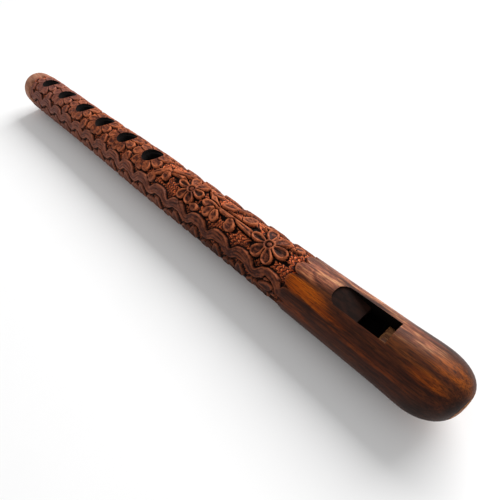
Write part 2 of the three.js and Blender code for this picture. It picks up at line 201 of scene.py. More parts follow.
def scallop_shift(turn):
    """How far the edge of the plain head falls back between its lobes."""
    lobe = 360 / SCALLOP_COUNT
    across = 2 * (np.mod(turn - SCALLOP_TURN + lobe / 2, lobe) / lobe) - 1
    return SCALLOP_LENGTH * (1 - np.sqrt(np.clip(1 - across**2, 0, 1)))


def scallop_slide(station):
    """Share of the scallops' shift that a ring takes: all of it at the edge of the head."""
    slide = smooth(CARVED_STATION - SCALLOP_FADE, CARVED_STATION, station)
    return slide - smooth(CARVED_STATION + SCALLOP_HOLD, CARVED_STATION + SCALLOP_FADE, station)


def wobble(station, turn, length, seed, waves=5, most_tilt=3):
    """Slow uneven waves between -1 and 1, a few of them summed, of about this length."""
    draw = np.random.default_rng(seed)
    total = 0
    for _ in range(waves):
        tilt = draw.integers(-most_tilt, most_tilt + 1)
        along = draw.uniform(0.6, 1.5) * 2 * math.pi / length
        total = total + np.sin(along * station + np.radians(turn) * tilt + draw.uniform(0, 6.3))
    return total / waves


class Relief:
    """Height of the outside over the turned stick, on a grid of rings and sides."""

    def __init__(self, stations, turns):
        self.rings = stations
        self.turns = turns
        self.station = stations[:, None] - scallop_slide(stations)[:, None] * scallop_shift(turns)
        self.turn = np.broadcast_to(turns, self.station.shape)
        self.height = np.zeros(self.station.shape)

    def patch(self, station, turn, reach):
        """The grid within reach of a point, and its places in millimetres from that point."""
        ends = (station - reach - SCALLOP_LENGTH, station + reach + SCALLOP_LENGTH)
        rows = np.arange(*np.searchsorted(self.rings, ends))
        around = np.radians(turn_gap(self.turns, turn)) * HEAD_RADIUS
        columns = np.nonzero(np.abs(around) < reach)[0]
        where = np.ix_(rows, columns)
        along = self.station[where] - station
        return where, along, np.broadcast_to(around[columns], along.shape)

    def wobble(self, length, seed):
        return wobble(self.station, self.turn, length, seed)

    def raise_to(self, height, where=...):
        """Adds what stands higher than the surface."""
        self.height[where] = np.maximum(self.height[where], height)

    def lower_to(self, depth, share, where=...):
        """Takes what stands higher than a depth down to it, by this share of the way."""
        height = self.height[where]
        self.height[where] = height * (1 - share) + np.minimum(height, -depth) * share

    def sink(self, where, inside, moat):
        """Cuts a moat round a motif, so that it stands free of what lies behind it."""
        self.lower_to(POCKET_DEPTH, smooth(-moat, -moat * MOAT_FLOOR, inside), where)


def crown(inside, top, dish=0.0, rim=0.9):
    """Height across a motif: a steep wall, a rounded rim and a dished middle."""
    wall = smooth(-WALL_WIDTH, WALL_WIDTH * WALL_TOP, inside)
    height = -GROUND_DEPTH + (top + GROUND_DEPTH) * wall
    height = height - EDGE_DROP * (1 - smooth(0, EDGE_ROUND, inside)) * wall
    height = height - dish * smooth(rim * RIM_START, rim * RIM_END, inside)
    return np.where(inside > -WALL_WIDTH, height, -np.inf)


def blade_share(place, base, widest, point):
    """Half width of a petal or leaf, as a share, from its base at 0 to its tip at 1."""
    grow = base + (1 - base) * np.sin(np.clip(place / widest, 0, 1) * math.pi / 2)
    past = np.clip(place - widest, 0, 1 - widest) / (1 - widest)
    return grow * (1 - past**2) ** point


def blade_inside(along, across, length, half_width, base=0.18, widest=0.62, point=0.5):
    """Distance in from a blade's outline, negative outside it."""
    step = 0.01
    place = np.clip(along / length, 0, 1)
    before, width, after = (
        half_width * blade_share(np.clip(place + move, 0, 1), base, widest, point)
        for move in (-step, 0, step)
    )
    slope = (after - before) / (2 * step * length)
    inside = (width - np.abs(across)) / np.sqrt(1 + slope**2)
    past = np.maximum(along - length, -along)
    outside = -np.hypot(past, np.clip(np.abs(across) - width, 0, None))
    return np.where(past > 0, outside, inside)


class Blade:
    """A petal or leaf on the unrolled surface, from its base point along its heading."""

    def __init__(self, station, turn, heading, length, half_width, **shape):
        self.place = (station, turn, length + half_width + MARGIN)
        self.heading = math.radians(heading)
        self.length = length
        self.half_width = half_width
        self.shape = shape

    def laid(self, relief):
        """The grid near the blade, with places along and across it, and distances in from it."""
        where, along, around = relief.patch(*self.place)
        forward = along * math.cos(self.heading) + around * math.sin(self.heading)
        across = around * math.cos(self.heading) - along * math.sin(self.heading)
        inside = blade_inside(forward, across, self.length, self.half_width, **self.shape)
        return where, forward, across, inside

    def carve(self, relief, top=-0.08, dish=0.45, rim=0.9, vein=0.0, moat=0.0):
        where, forward, across, inside = self.laid(relief)
        if moat:
            relief.sink(where, inside, moat)
        place = forward / self.length
        vein = vein * np.exp(-((across / VEIN_WIDTH) ** 2))
        vein = vein * (smooth(0.02, 0.2, place) * smooth(1.0, 0.75, place))
        relief.raise_to(crown(inside, top, dish, rim) - vein, where)


def stepped(station, turn, way, distance):
    """Station and turn at a distance from a point, along a way in radians."""
    around = math.degrees(distance * math.sin(way) / HEAD_RADIUS)
    return station + distance * math.cos(way), turn + around


# Middle of a flower. The rest are shares of the first, and the well's depth of a pocket's.
HUB = 2.3
HUB_PETAL_START = 0.6
HUB_WELL = 0.8
HUB_WELL_DEPTH = 0.7
HUB_RING = 0.92
HUB_RING_HALF = 0.17
HUB_BUTTON = 0.5


def flower(relief, station, turn, lengths, half_widths):
    """A flower with scooped petals round a button in a ring."""
    petals = []
    start = HUB * HUB_PETAL_START
    for i, (length, half_width) in enumerate(zip(lengths, half_widths)):
        way = math.radians(i * 360 / len(lengths))
        petals.append(Blade(*stepped(station, turn, way, start), math.degrees(way),
                            length - start, half_width, base=0.2, widest=0.66))
    for petal in petals:
        where, _, _, inside = petal.laid(relief)
        relief.sink(where, inside, 1.5)
    for petal in petals:
        petal.carve(relief, top=0.0, dish=0.8, rim=0.62, vein=0.15)
    where, along, around = relief.patch(station, turn, HUB + 1)
    away = np.hypot(along, around)
    relief.height[where] = np.where(away < HUB * HUB_WELL, -POCKET_DEPTH * HUB_WELL_DEPTH,
                                    relief.height[where])
    relief.raise_to(crown(HUB * HUB_BUTTON - away, -0.25), where)
    relief.raise_to(crown(HUB * HUB_RING_HALF - np.abs(away - HUB * HUB_RING), 0.0), where)


def smooth_line(knots, steps=12):
    """Points of a smooth curve through knots."""
    padded = np.vstack([2 * knots[0] - knots[1], knots, 2 * knots[-1] - knots[-2]])
    line = []
    for i in range(len(knots) - 1):
        a, b, c, d = padded[i:i + 4]
        for u in np.linspace(0, 1, steps, endpoint=False):
            line.append(0.5 * (2 * b + (c - a) * u + (2 * a - 5 * b + 4 * c - d) * u**2
                               + (3 * b - a - 3 * c + d) * u**3))
    return np.array(line + [knots[-1]])


def stem(relief, points, half_widths, top=-0.15, moat=0.0, ridge=0.0):
    """A band of round section along a smooth curve through (station, turn) points."""
    line = smooth_line(np.array([(s, t * math.pi / 180 * HEAD_RADIUS) for s, t in points]))
    shares = np.linspace(0, 1, len(line))
    widths = np.interp(shares, np.linspace(0, 1, len(half_widths)), half_widths)
    middle = (line.min(0) + line.max(0)) / 2
    reach = np.abs(line - middle).max() + max(half_widths) + 2
    where, along, around = relief.patch(middle[0], math.degrees(middle[1] / HEAD_RADIUS), reach)
    inside = np.full(along.shape, -np.inf)
    for start, end, width in zip(line, line[1:], widths):
        span = end - start
        x = along + middle[0] - start[0]
        y = around + middle[1] - start[1]
        share = np.clip((x * span[0] + y * span[1]) / (span @ span), 0, 1)
        inside = np.maximum(inside, width - np.hypot(x - share * span[0], y - share * span[1]))
    if moat:
        relief.sink(where, inside, moat)
    relief.raise_to(crown(inside, top) - ridge * smooth(0.35, 0.9, inside), where)


# Wavy ribbon along each side of the finger holes: broad crests near them and narrow troughs
RIBBON_TURN = 68.5
RIBBON_SWING = 7.5
RIBBON_PITCH = 14.9
RIBBON_CREST = 88.6
RIBBON_CREST_WIDTH = 4.8
RIBBON_TROUGH_WIDTH = 3.4
RIBBON_START = 64.0
RIBBON_DROP = 0.02
RIBBON_MOAT = 1.4
RIBBON_MOAT_FLOOR = 0.5
RIBBON_MOAT_DEPTH = 1.75
RIBBON_GROOVES = 3
RIBBON_GROOVE = 0.42
RIBBON_GROOVE_STRAY = 0.3
RIBBON_GROOVE_EDGE = 0.4


def ribbon(relief, side):
    """A grooved band that waves along the flute. Side 1 is the camera's and -1 the far one."""
    pace = 2 * math.pi / RIBBON_PITCH
    phase = pace * (relief.station - RIBBON_CREST)
    wave = np.cos(phase) + (1 - np.cos(2 * phase)) / 4
    gap = turn_gap(relief.turn, HOLE_TURN + side * RIBBON_TURN)
    swing = np.radians(gap + side * RIBBON_SWING * wave) * HEAD_RADIUS
    slope = np.sin(phase) - np.sin(2 * phase) / 2
    tilt = pace * math.radians(RIBBON_SWING) * HEAD_RADIUS * slope
    across = swing / np.sqrt(1 + tilt**2)
    half = (RIBBON_CREST_WIDTH + RIBBON_TROUGH_WIDTH) / 4
    half = half + (RIBBON_CREST_WIDTH - RIBBON_TROUGH_WIDTH) / 4 * np.cos(phase)
    inside = np.minimum(half - np.abs(across), relief.station - RIBBON_START)
    rings = relief.rings[:, None]
    carved = (rings > RIBBON_START - SCALLOP_LENGTH) & (rings < FOOT_RIM_STATION + 1)
    moat = smooth(-RIBBON_MOAT, -RIBBON_MOAT_FLOOR, inside) * carved
    relief.lower_to(RIBBON_MOAT_DEPTH, moat)
    stray = RIBBON_GROOVE_STRAY * relief.wobble(24, seed=41)
    grooves = 0.5 - 0.5 * np.cos(math.pi * RIBBON_GROOVES * (across / half + 1 + stray))
    depth = RIBBON_GROOVE * np.clip(0.7 + 0.8 * relief.wobble(11, seed=43), 0, 1)
    height = crown(inside, -RIBBON_DROP)
    height = height - depth * grooves * smooth(0, RIBBON_GROOVE_EDGE, inside)
    relief.raise_to(np.where(carved, height, -np.inf))


def gouge_cells(station, turn):
    """Place among the rows of thumbnail cuts, and along the cuts of a row."""
    rows = (turn + 180) / 360 * GOUGE_ROWS + GOUGE_STRAY * wobble(station, turn, 31, seed=3)
    cells = station / GOUGE_PITCH + GOUGE_STRAY * wobble(station, turn, 23, seed=4)
    return rows, cells


def carve_ground(relief):
    """Sinks the ground between the scallops and the foot rim, with rows of thumbnail cuts."""
    sunk = smooth(CARVED_STATION, CARVED_STATION + GROUND_EDGE, relief.rings)
    sunk = sunk * smooth(FOOT_RIM_STATION, FOOT_RIM_STATION - GROUND_EDGE, relief.rings)
    rows, cells = gouge_cells(relief.station, relief.turn)
    shifted = cells + 0.5 * np.mod(np.floor(rows), 2)
    ramp = np.mod(shifted + GOUGE_BOW * (np.mod(rows, 1) - 0.5) ** 2, 1)
    cut = GOUGE_DEPTH * (1 - ramp) * smooth(0, GOUGE_LIP, ramp)
    uneven = GROUND_UNEVEN * relief.wobble(17, seed=5)
    relief.height -= sunk[:, None] * (GROUND_DEPTH + cut + uneven)


# Garden between the scallops and the first finger hole. A flower has its station and turn, its
# petals' lengths and their half widths, a stem its (station, turn) points, half widths and moat,
# and a leaf its station, turn, heading, length and half width.
FLOWERS = (
    (81.5, 3.5, (9.4, 8.4, 8.6, 9.2, 9.6, 9.8), (1.9, 2.45, 2.35, 2.5, 2.5, 2.4)),
    (131.6, 4.0, (8.9, 8.0, 7.8, 7.9, 8.6, 8.8), (1.7, 2.2, 2.3, 2.2, 2.3, 2.3)),
)
STEMS = (
    (((110.3, -5), (104.3, -3), (99.5, -8), (96.4, -17)), (0.7, 1.0, 1.3, 1.6), 1.6),
    (((158.9, 38), (155.3, 18), (151.7, 2), (147.5, -7), (143.3, -9), (139.7, -6)),
     (0.9, 1.2, 1.5, 1.6, 1.2, 0.8), 1.6),
    (((148.7, -10), (143.9, -18), (137.9, -29), (131.9, -34), (125.9, -30), (121.1, -18),
      (117.5, -6), (115.1, 2), (113.3, 7)), (1.1, 1.1, 1.0, 1.0, 1.0, 1.1, 1.3, 1.9, 2.0), 1.3),
    (((113.9, 6), (106.7, 3.6), (99.5, 4), (91.3, 6)), (1.0, 0.7, 0.8, 1.3), 1.3),
)
BROAD_LEAVES = (
    (99.5, -9, 214, 6.6, 2.5),
    (112.5, -10, 205, 7.2, 2.2),
    (113.5, 5, 8, 8.2, 2.0),
    (114.0, 9, 62, 6.2, 2.2),
    (112.6, 10, 112, 5.8, 2.1),
    (103.6, 8, 122, 6.0, 2.5),
    (149.9, 2, 100, 5.2, 2.1),
)
SLIM_LEAVES = (
    (143.5, -20, 250, 6.0, 1.9),
    (122.5, -22, 200, 6.0, 1.8),
    (126.5, 32, 170, 5.5, 1.8),
    (105.0, -24, 240, 6.5, 2.0),
    (90.5, -28, 200, 7.0, 2.1),
    (74.8, -22, 215, 6.0, 2.0),
)

# Deep pockets beside the motifs: station, turn, half length along the flute and half width. What
# stands high is left. A side falls between two shares of the half sizes.
POCKETS = (
    (92.3, -12, 2.0, 2.0), (82.0, -23, 0.9, 1.6), (76.5, -20, 1.3, 2.0),
    (71.5, 13, 1.8, 0.8), (76.0, 29, 0.9, 1.6), (81.5, 28, 0.8, 1.5),
    (98.6, 22, 1.4, 1.4), (88.0, 22, 1.6, 1.2), (108.5, -14, 2.0, 0.9),
    (107.0, 14, 1.6, 1.2), (120.5, 3, 1.5, 1.2), (122.0, 20, 1.2, 1.8),
    (127.0, -20, 1.0, 1.6), (137.0, -17, 1.2, 1.4), (136.5, 26, 1.2, 1.5),
    (143.0, 6, 1.5, 1.4), (152.0, -14, 1.8, 1.6), (148.0, 24, 1.6, 1.6),
)
POCKET_LEAVES_OVER = 0.8
POCKET_SIDE = (1.35, 0.7)
POCKET_FLOOR = 1.15


def carve_pockets(relief):
    for station, turn, half_length, half_width in POCKETS:
        where, along, around = relief.patch(station, turn, 2 * max(half_length, half_width))
        share = smooth(*POCKET_SIDE, np.hypot(along / half_length, around / half_width))
        height = relief.height[where]
        cut = height * (1 - share) - POCKET_DEPTH * POCKET_FLOOR * share
        relief.height[where] = np.where(height > -GROUND_DEPTH * POCKET_LEAVES_OVER, height, cut)


def carve_garden(relief):
    for points, half_widths, moat in STEMS:
        stem(relief, points, half_widths, moat=moat, ridge=0.12)
    for leaf in BROAD_LEAVES:
        Blade(*leaf, base=0.42, widest=0.55).carve(relief, dish=0.42, vein=0.12, moat=0.8)
    for leaf in SLIM_LEAVES:
        Blade(*leaf, point=0.8).carve(relief, dish=0.32, moat=0.4)
    for station, turn, lengths, half_widths in FLOWERS:
        flower(relief, station, turn, lengths, half_widths)


# Petals round each finger hole, and leaves in the gaps between two rosettes
ROSETTE_PETALS = 10
ROSETTE_REACH_ALONG = 12.3
ROSETTE_REACH_AROUND = 10.4
ROSETTE_START = HOLE_RADIUS - 0.8
GAP_LEAF_SETBACK = 0.5
GAP_LEAF_TURN = 27
GAP_LEAF_LENGTH = 6.5
GAP_LEAF_HALF_WIDTH = 1.9


def carve_rosettes(relief):
    draw = np.random.default_rng(11)
    for station in HOLE_STATIONS:
        for side in (-1, 1):
            for way in (-1, 1):
                Blade(station + way * (HOLE_PITCH / 2 - GAP_LEAF_SETBACK),
                      HOLE_TURN + side * GAP_LEAF_TURN, 90 * side, GAP_LEAF_LENGTH,
                      GAP_LEAF_HALF_WIDTH, point=0.8).carve(relief, top=-0.25, dish=0.3)
        for i in range(ROSETTE_PETALS):
            way = (i + 0.5) * 2 * math.pi / ROSETTE_PETALS + draw.uniform(-0.05, 0.05)
            reach = 1 / math.hypot(math.cos(way) / ROSETTE_REACH_ALONG,
                                   math.sin(way) / ROSETTE_REACH_AROUND)
            petal = Blade(*stepped(station, HOLE_TURN, way, ROSETTE_START), math.degrees(way),
                          reach - ROSETTE_START, draw.uniform(2.45, 2.75), base=0.62, widest=0.6)
            petal.carve(relief, top=0.0, dish=0.3, rim=0.7, vein=0.14, moat=0.5)


# Leaves beside each ribbon: station past a crest, turn out from the ribbon, heading away from the
# finger holes, length and half width
CREST_LEAF = (0.5, 11, 90, 7.8, 2.3)
CREST_LEAF_STRAY = 12
TROUGH_LEAVES = (
    (RIBBON_PITCH / 2, 25, 60, 6.6, 2.0),
    (RIBBON_PITCH * 0.42, 23, 130, 6.2, 1.9),
)
LAST_CREST_SETBACK = 4


def side_leaf(crest, side, leaf, stray=0.0, **shape):
    """A leaf beside the ribbon on a side, measured from one of its crests."""
    past, out, heading, length, half_width = leaf
    return Blade(crest + past, HOLE_TURN + side * (RIBBON_TURN + out), heading * side + stray,
                 length, half_width, **shape)


def carve_sides(relief):
    draw = np.random.default_rng(23)
    room = FOOT_RIM_STATION - LAST_CREST_SETBACK - RIBBON_CREST
    for side in (-1, 1):
        for i in range(-1, int(room / RIBBON_PITCH) + 2):
            crest = RIBBON_CREST + i * RIBBON_PITCH
            stray = draw.uniform(-CREST_LEAF_STRAY, CREST_LEAF_STRAY)
            leaf = side_leaf(crest, side, CREST_LEAF, stray, base=0.35, widest=0.55, point=0.6)
            leaf.carve(relief, top=-0.1, dish=0.4, vein=0.12)
            for row in TROUGH_LEAVES:
                leaf = side_leaf(crest, side, row, base=0.3, point=0.7)
                leaf.carve(relief, top=-0.15, dish=0.35, vein=0.12)


# Plain strip below the side leaves, measured from the hole line
BORDER_TURN = 120.0
BORDER_WIDTH = 3.6
BORDER_DROP = 0.55


def carve_borders(relief):
    """A low plain strip along each side, which the tips of the side leaves run out on."""
    for side in (-1, 1):
        around = np.radians(turn_gap(relief.turn, HOLE_TURN + side * BORDER_TURN)) * HEAD_RADIUS
        inside = BORDER_WIDTH / 2 - np.abs(around)
        inside = np.minimum(inside, relief.station - CARVED_STATION - 1)
        inside = np.minimum(inside, FOOT_RIM_STATION - relief.station)
        relief.raise_to(crown(inside, -BORDER_DROP))


# Vine underneath: a low stem, and pairs of leaves that point away from the balance point. The
# flute rests on the first two pairs, which stand proud.
BALANCE_STATION = 151.0
VINE_PITCH = 22.4
VINE_START = 4.0
VINE_STEM_WIDTH = 1.6
VINE_STEM_DROP = 0.6
VINE_LEAF_TURN = 9.0
VINE_LEAF_HEADING = 62.0
VINE_LEAF_LENGTH = 8.0
VINE_LEAF_WIDTH = 4.6
VINE_LEAF_DROP = 0.1
VINE_LEAF_PROUD = 0.3
VINE_SMALL_SHARE = 0.7
VINE_MIDDLE_GAP = 2.4


def carve_vine(relief):
    widest = HEAD_RADIUS + max(MOUTH_SWELL, UPPER_SWELL, FOOT_SWELL) / 2
    for way, end in ((-1, CARVED_STATION + VINE_START), (1, FOOT_RIM_STATION - VINE_START)):
        first = BALANCE_STATION + way * VINE_MIDDLE_GAP / 2
        stem(relief, ((first, 180), (end, 180)), (VINE_STEM_WIDTH / 2,), top=-VINE_STEM_DROP,
             moat=0.8)
        room = abs(end - first)
        for i, along in enumerate(np.arange(0, room - VINE_LEAF_LENGTH, VINE_PITCH / 2)):
            station = first + way * along
            proud = widest - turned_radius(station) + VINE_LEAF_PROUD
            share = 1.0 if i % 2 == 0 else VINE_SMALL_SHARE
            for side in (-1, 1):
                heading = 90 - way * (90 - VINE_LEAF_HEADING)
                leaf = Blade(station, 180 + side * VINE_LEAF_TURN * share, side * heading,
                             VINE_LEAF_LENGTH * share, VINE_LEAF_WIDTH / 2 * share, base=0.3,
                             widest=0.5, point=0.7)
                leaf.carve(relief, top=proud if i == 0 else -VINE_LEAF_DROP, dish=0.4, vein=0.14,
                           moat=0.6)


# Leaves that spring from the scallops on both sides: station, turn out from the ribbon, heading
# past straight to the mouth, length, half width, where it is widest, and moat
HEAD_LEAVES = (
    (74.9, 0, -38, 8.2, 1.7, 0.5, 0.8),
    (77.5, 22, 20, 8.0, 2.0, 0.62, 0.6),
)

# Leaf-shaped recesses in the plain rim at the foot: turn and length
FOOT_LEAVES = ((-10, 3.4), (30, 4.8), (55, 4.2), (92, 4.0), (130, 4.4), (170, 3.6), (212, 4.6),
               (250, 4.0), (288, 4.4), (322, 4.0))
FOOT_LEAF_SETBACK = 1.5
FOOT_LEAF_HALF_WIDTH = 2.2
FOOT_LEAF_DEPTH = GROUND_DEPTH * 0.9


def carve_head_edge(relief):
    for side in (-1, 1):
        for station, out, heading, length, half_width, widest, moat in HEAD_LEAVES:
            leaf = Blade(station, HOLE_TURN + side * (RIBBON_TURN + out), 180 + side * heading,
                         length, half_width, base=0.3, widest=widest, point=0.8)
            leaf.carve(relief, dish=0.35, moat=moat)


def carve_foot_edge(relief):
    for turn, length in FOOT_LEAVES:
        leaf = Blade(FOOT_RIM_STATION - FOOT_LEAF_SETBACK, turn, 0, length, FOOT_LEAF_HALF_WIDTH,
                     base=0.9, widest=0.35, point=0.7)
        where, _, _, inside = leaf.laid(relief)
        relief.lower_to(FOOT_LEAF_DEPTH, smooth(-0.1, 0.9, inside), where)


def past_window(station, side):
    """Distance out from the window's edge, with its ramp's end rounded, negative inside it."""
    along = station - WINDOW_STATION - WINDOW_LENGTH / 2
    corner = np.where(along > 0, RAMP_END_ROUND, 0)
    past = np.abs(along) - WINDOW_LENGTH / 2 + corner
    beside = np.abs(side) - WINDOW_WIDTH / 2 + corner
    outside = np.hypot(np.clip(past, 0, None), np.clip(beside, 0, None))
    return outside + np.minimum(np.maximum(past, beside), 0) - corner


def past_hole(along, around):
    """Distance out from the edge of a finger hole, negative inside it."""
    drawn = np.where(around < 0, np.minimum(around + HOLE_EDGE_DRAWN, 0), around)
    return np.hypot(along, drawn) - HOLE_RADIUS - HOLE_EDGE


def soften_openings(relief):
    """Evens out the rims of the finger holes, and rounds the skin down a little at the window."""
    for station in HOLE_STATIONS:
        where, along, around = relief.patch(station, HOLE_TURN, HOLE_RADIUS + 2 * MARGIN)
        share = 1 - smooth(0.1, 1.0, past_hole(along, around))
        relief.height[where] = relief.height[where] * (1 - share) - HOLE_RIM_DROP * share
    middle = WINDOW_STATION + WINDOW_LENGTH / 2
    where, _, around = relief.patch(middle, 0, WINDOW_LENGTH / 2 + 2 * MARGIN)
    away = past_window(relief.station[where], around)
    relief.height[where] -= WINDOW_EDGE_DROP * (1 - smooth(-0.2, 0.6, away)) ** 2


def station_list():
    """Base stations of the rings behind the rounded mouth end, fine where there is carving."""
    lobes = CARVED_STATION - SCALLOP_FADE
    rim = FOOT_RIM_STATION + 5
    return np.concatenate([
        np.arange(MOUTH_ROUND_LENGTH + 1, lobes, 1.2),
        np.arange(lobes, CARVED_STATION - 0.01, 0.7),
        np.arange(CARVED_STATION, rim, RING_STEP),
        np.arange(rim, FLUTE_LENGTH - FOOT_EDGE_ROUND, 0.8),
    ])


def make_relief():
    relief = Relief(station_list(), (np.arange(SIDES) + 0.5) * 360 / SIDES - 180)
    carve_ground(relief)
    plain = relief.height.copy()
    carve_borders(relief)
    carve_sides(relief)
    carve_vine(relief)
    ribbon(relief, 1)
    ribbon(relief, -1)
    carve_head_edge(relief)
    carve_garden(relief)
    carve_rosettes(relief)
    carve_pockets(relief)
    carve_foot_edge(relief)
    ahead = (relief.rings < CARVED_STATION)[:, None]
    behind = smooth(CARVED_STATION, CARVED_STATION + 0.4, relief.rings)[:, None]
    relief.height = np.where(ahead, 0.0, relief.height * behind)
    relief.ground = smooth(0.25, 0.05, relief.height - plain) * (relief.height < -0.6)
    relief.height = relief.height + SKIN_UNEVEN * relief.wobble(40, seed=8)
    soften_openings(relief)
    return relief


def blur(grid, radius):
    """Average over a square of this many millimetres each way."""
    for axis, step, edge in ((0, RING_STEP, "edge"), (1, AROUND_STEP, "wrap")):
        reach = max(1, round(radius / step))
        grid = np.pad(np.moveaxis(grid, axis, 0), ((reach, reach), (0, 0)), mode=edge)
        total = np.cumsum(np.pad(grid, ((1, 0), (0, 0))), 0)
        grid = (total[2 * reach + 1:] - total[:-2 * reach - 1]) / (2 * reach + 1)
        grid = np.moveaxis(grid, 0, axis)
    return grid


def beak_height(station):
    """Height of the hollow underside of the mouth end."""
    belly = -(HEAD_DIAMETER + MOUTH_SWELL) / 2
    hollow_station, hollow_height = BEAK_HOLLOW_SHARES
    u = np.linspace(0, 1, BEAK_STEPS)
    curve_s = BEAK_LENGTH * (u**2 + 2 * u * (1 - u) * hollow_station)
    middle = belly + (BEAK_TIP_HEIGHT - belly) * hollow_height
    curve_z = BEAK_TIP_HEIGHT * (1 - u) ** 2 + 2 * u * (1 - u) * middle + belly * u**2
    return np.interp(station, curve_s, curve_z, right=-np.inf)


def hollow_beak(rings):
    """Lifts the underside of the mouth end to the beak's hollow, with a rounded edge."""
    lift = (beak_height(rings[..., 0]) - rings[..., 2]) / BEAK_EDGE_ROUND + 1
    lift = np.clip(lift, 0, None)
    eased = np.where(lift < 2, lift**2 / 4, lift - 1) * BEAK_EDGE_ROUND
    rings[..., 2] = np.where(lift > 0, rings[..., 2] + eased, rings[..., 2])


def ring(station, side, height):
    return np.stack(np.broadcast_arrays(station, side, height), -1)


def skin_points(relief):
    """Points of the outer skin, ring by ring, in millimetres from the tip on the axis."""
    side = np.sin(np.radians(relief.turns))
    up = np.cos(np.radians(relief.turns))
    radius = turned_radius(MOUTH_ROUND_LENGTH) + relief.height[0]
    mouth = []
    for share in MOUTH_RINGS:
        closing = math.sin(share * math.pi / 2) ** (2 / MOUTH_BLUNTNESS)
        back = max(math.cos(share * math.pi / 2), 0) ** (2 / MOUTH_BLUNTNESS)
        mouth.append(ring(MOUTH_ROUND_LENGTH * (1 - back), radius * side * closing,
                          MOUTH_TIP_HEIGHT * (1 - closing) + radius * up * closing))
    radius = turned_radius(relief.station) + relief.height
    carved = ring(relief.station, radius * side, radius * up)
    edge = []
    for bend in np.linspace(0, math.pi / 2, FOOT_EDGE_RINGS):
        away = FOOT_EDGE_ROUND * (1 - math.cos(bend))
        radius = turned_radius(FLUTE_LENGTH) + relief.height[-1] - away
        station = FLUTE_LENGTH - FOOT_EDGE_ROUND * (1 - math.sin(bend))
        edge.append(ring(station, radius * side, radius * up))
    rings = np.concatenate([mouth, carved, edge])
    hollow_beak(rings)
    # What the flute rests on is planed level, just over the floor
    rings[..., 2] = np.maximum(rings[..., 2], FLOOR_GAP - AXIS_HEIGHT)
    return rings


def add_object(name, data):
    thing = bpy.data.objects.new(name, data)
    bpy.context.scene.collection.objects.link(thing)
    return thing


def new_object(name, points, faces):
    """Object from points in millimetres, measured from the tip on the bore's axis."""
    mesh = bpy.data.meshes.new(name)
    mesh.from_pydata(((np.asarray(points) + TIP) * MM).tolist(), [], faces)
    mesh.validate()
    return add_object(name, mesh)


def skin_object(name, rings):
    """Closed mesh over rings of points, with a point at each end."""
    count, sides = rings.shape[:2]
    first = rings[0].mean(0)
    first[0] = 0
    points = np.concatenate([[first], rings.reshape(-1, 3), [rings[-1].mean(0)]])
    at = 1 + np.arange(count * sides).reshape(count, sides)
    right = np.roll(at, -1, axis=1)
    quads = np.stack([at[:-1], at[1:], right[1:], right[:-1]], -1).reshape(-1, 4)
    caps = [(0, int(a), int(b)) for a, b in zip(at[0], right[0])]
    end = len(points) - 1
    caps += [(end, int(b), int(a)) for a, b in zip(at[-1], right[-1])]
    return new_object(name, points, quads.tolist() + caps)


def outward(piece):
    """Turns a closed mesh's faces to point out."""
    bpy.context.view_layer.objects.active = piece
    bpy.ops.object.select_all(action="DESELECT")
    piece.select_set(True)
    bpy.ops.object.mode_set(mode="EDIT")
    bpy.ops.mesh.select_all(action="SELECT")
    bpy.ops.mesh.normals_make_consistent(inside=False)
    bpy.ops.object.mode_set(mode="OBJECT")
    return piece


def lofted_object(name, loops):
    """Closed mesh over loops of as many points each, with a flat face at each end."""
    sides = len(loops[0])
    points = [point for loop in loops for point in loop]
    faces = [tuple(range(sides)), tuple(reversed(range(len(points) - sides, len(points))))]
    for low in range(0, len(points) - sides, sides):
        for i in range(sides):
            j = (i + 1) % sides
            faces.append((low + i, low + sides + i, low + sides + j, low + j))
    return outward(new_object(name, points, faces))


def round_angles(sides):
    return [(i + 0.5) * 2 * math.pi / sides for i in range(sides)]


def bar_object(name, radius, end):
    """Round bar along the bore, from before the tip to past a station."""
    angles = round_angles(BAR_SIDES)
    return lofted_object(name, [
        [(station, radius * math.cos(angle), radius * math.sin(angle)) for angle in angles]
        for station in (-OVERRUN, end + OVERRUN)
    ])


def hole_tool(station):
    """Drill for a finger hole, whose burnt edge opens out a little, most on the far side."""
    edge = HEAD_RADIUS - HOLE_EDGE_DEPTH
    lean = math.radians(HOLE_TURN)
    loops = []
    for height, radius, drawn in (
        (0, HOLE_RADIUS, 0),
        (edge - HOLE_EDGE, HOLE_RADIUS, 0),
        (edge, HOLE_RADIUS + HOLE_EDGE, HOLE_EDGE_DRAWN),
        (REACH, HOLE_RADIUS + HOLE_EDGE, HOLE_EDGE_DRAWN),
    ):
        loop = []
        for angle in round_angles(DRILL_SIDES):
            side = radius * math.sin(angle) - (drawn if math.sin(angle) < 0 else 0)
            loop.append((station + radius * math.cos(angle),
                         height * math.sin(lean) + side * math.cos(lean),
                         height * math.cos(lean) - side * math.sin(lean)))
        loops.append(loop)
    return lofted_object("hole_tool", loops)


def profile_object(name, profile, width):
    """Side profile, in station and height, extruded to a width across the flute."""
    return lofted_object(name, [
        [(station, side * width / 2, height) for station, height in profile] for side in (-1, 1)
    ])


def apply_modifiers(piece):
    depsgraph = bpy.context.evaluated_depsgraph_get()
    mesh = bpy.data.meshes.new_from_object(piece.evaluated_get(depsgraph))
    piece.modifiers.clear()
    piece.data = mesh


def cut(piece, tools, operation="DIFFERENCE"):
    for tool in tools:
        modifier = piece.modifiers.new("cut", "BOOLEAN")
        modifier.operation = operation
        modifier.solver = "MANIFOLD"
        modifier.object = tool
        apply_modifiers(piece)
        bpy.data.objects.remove(tool)


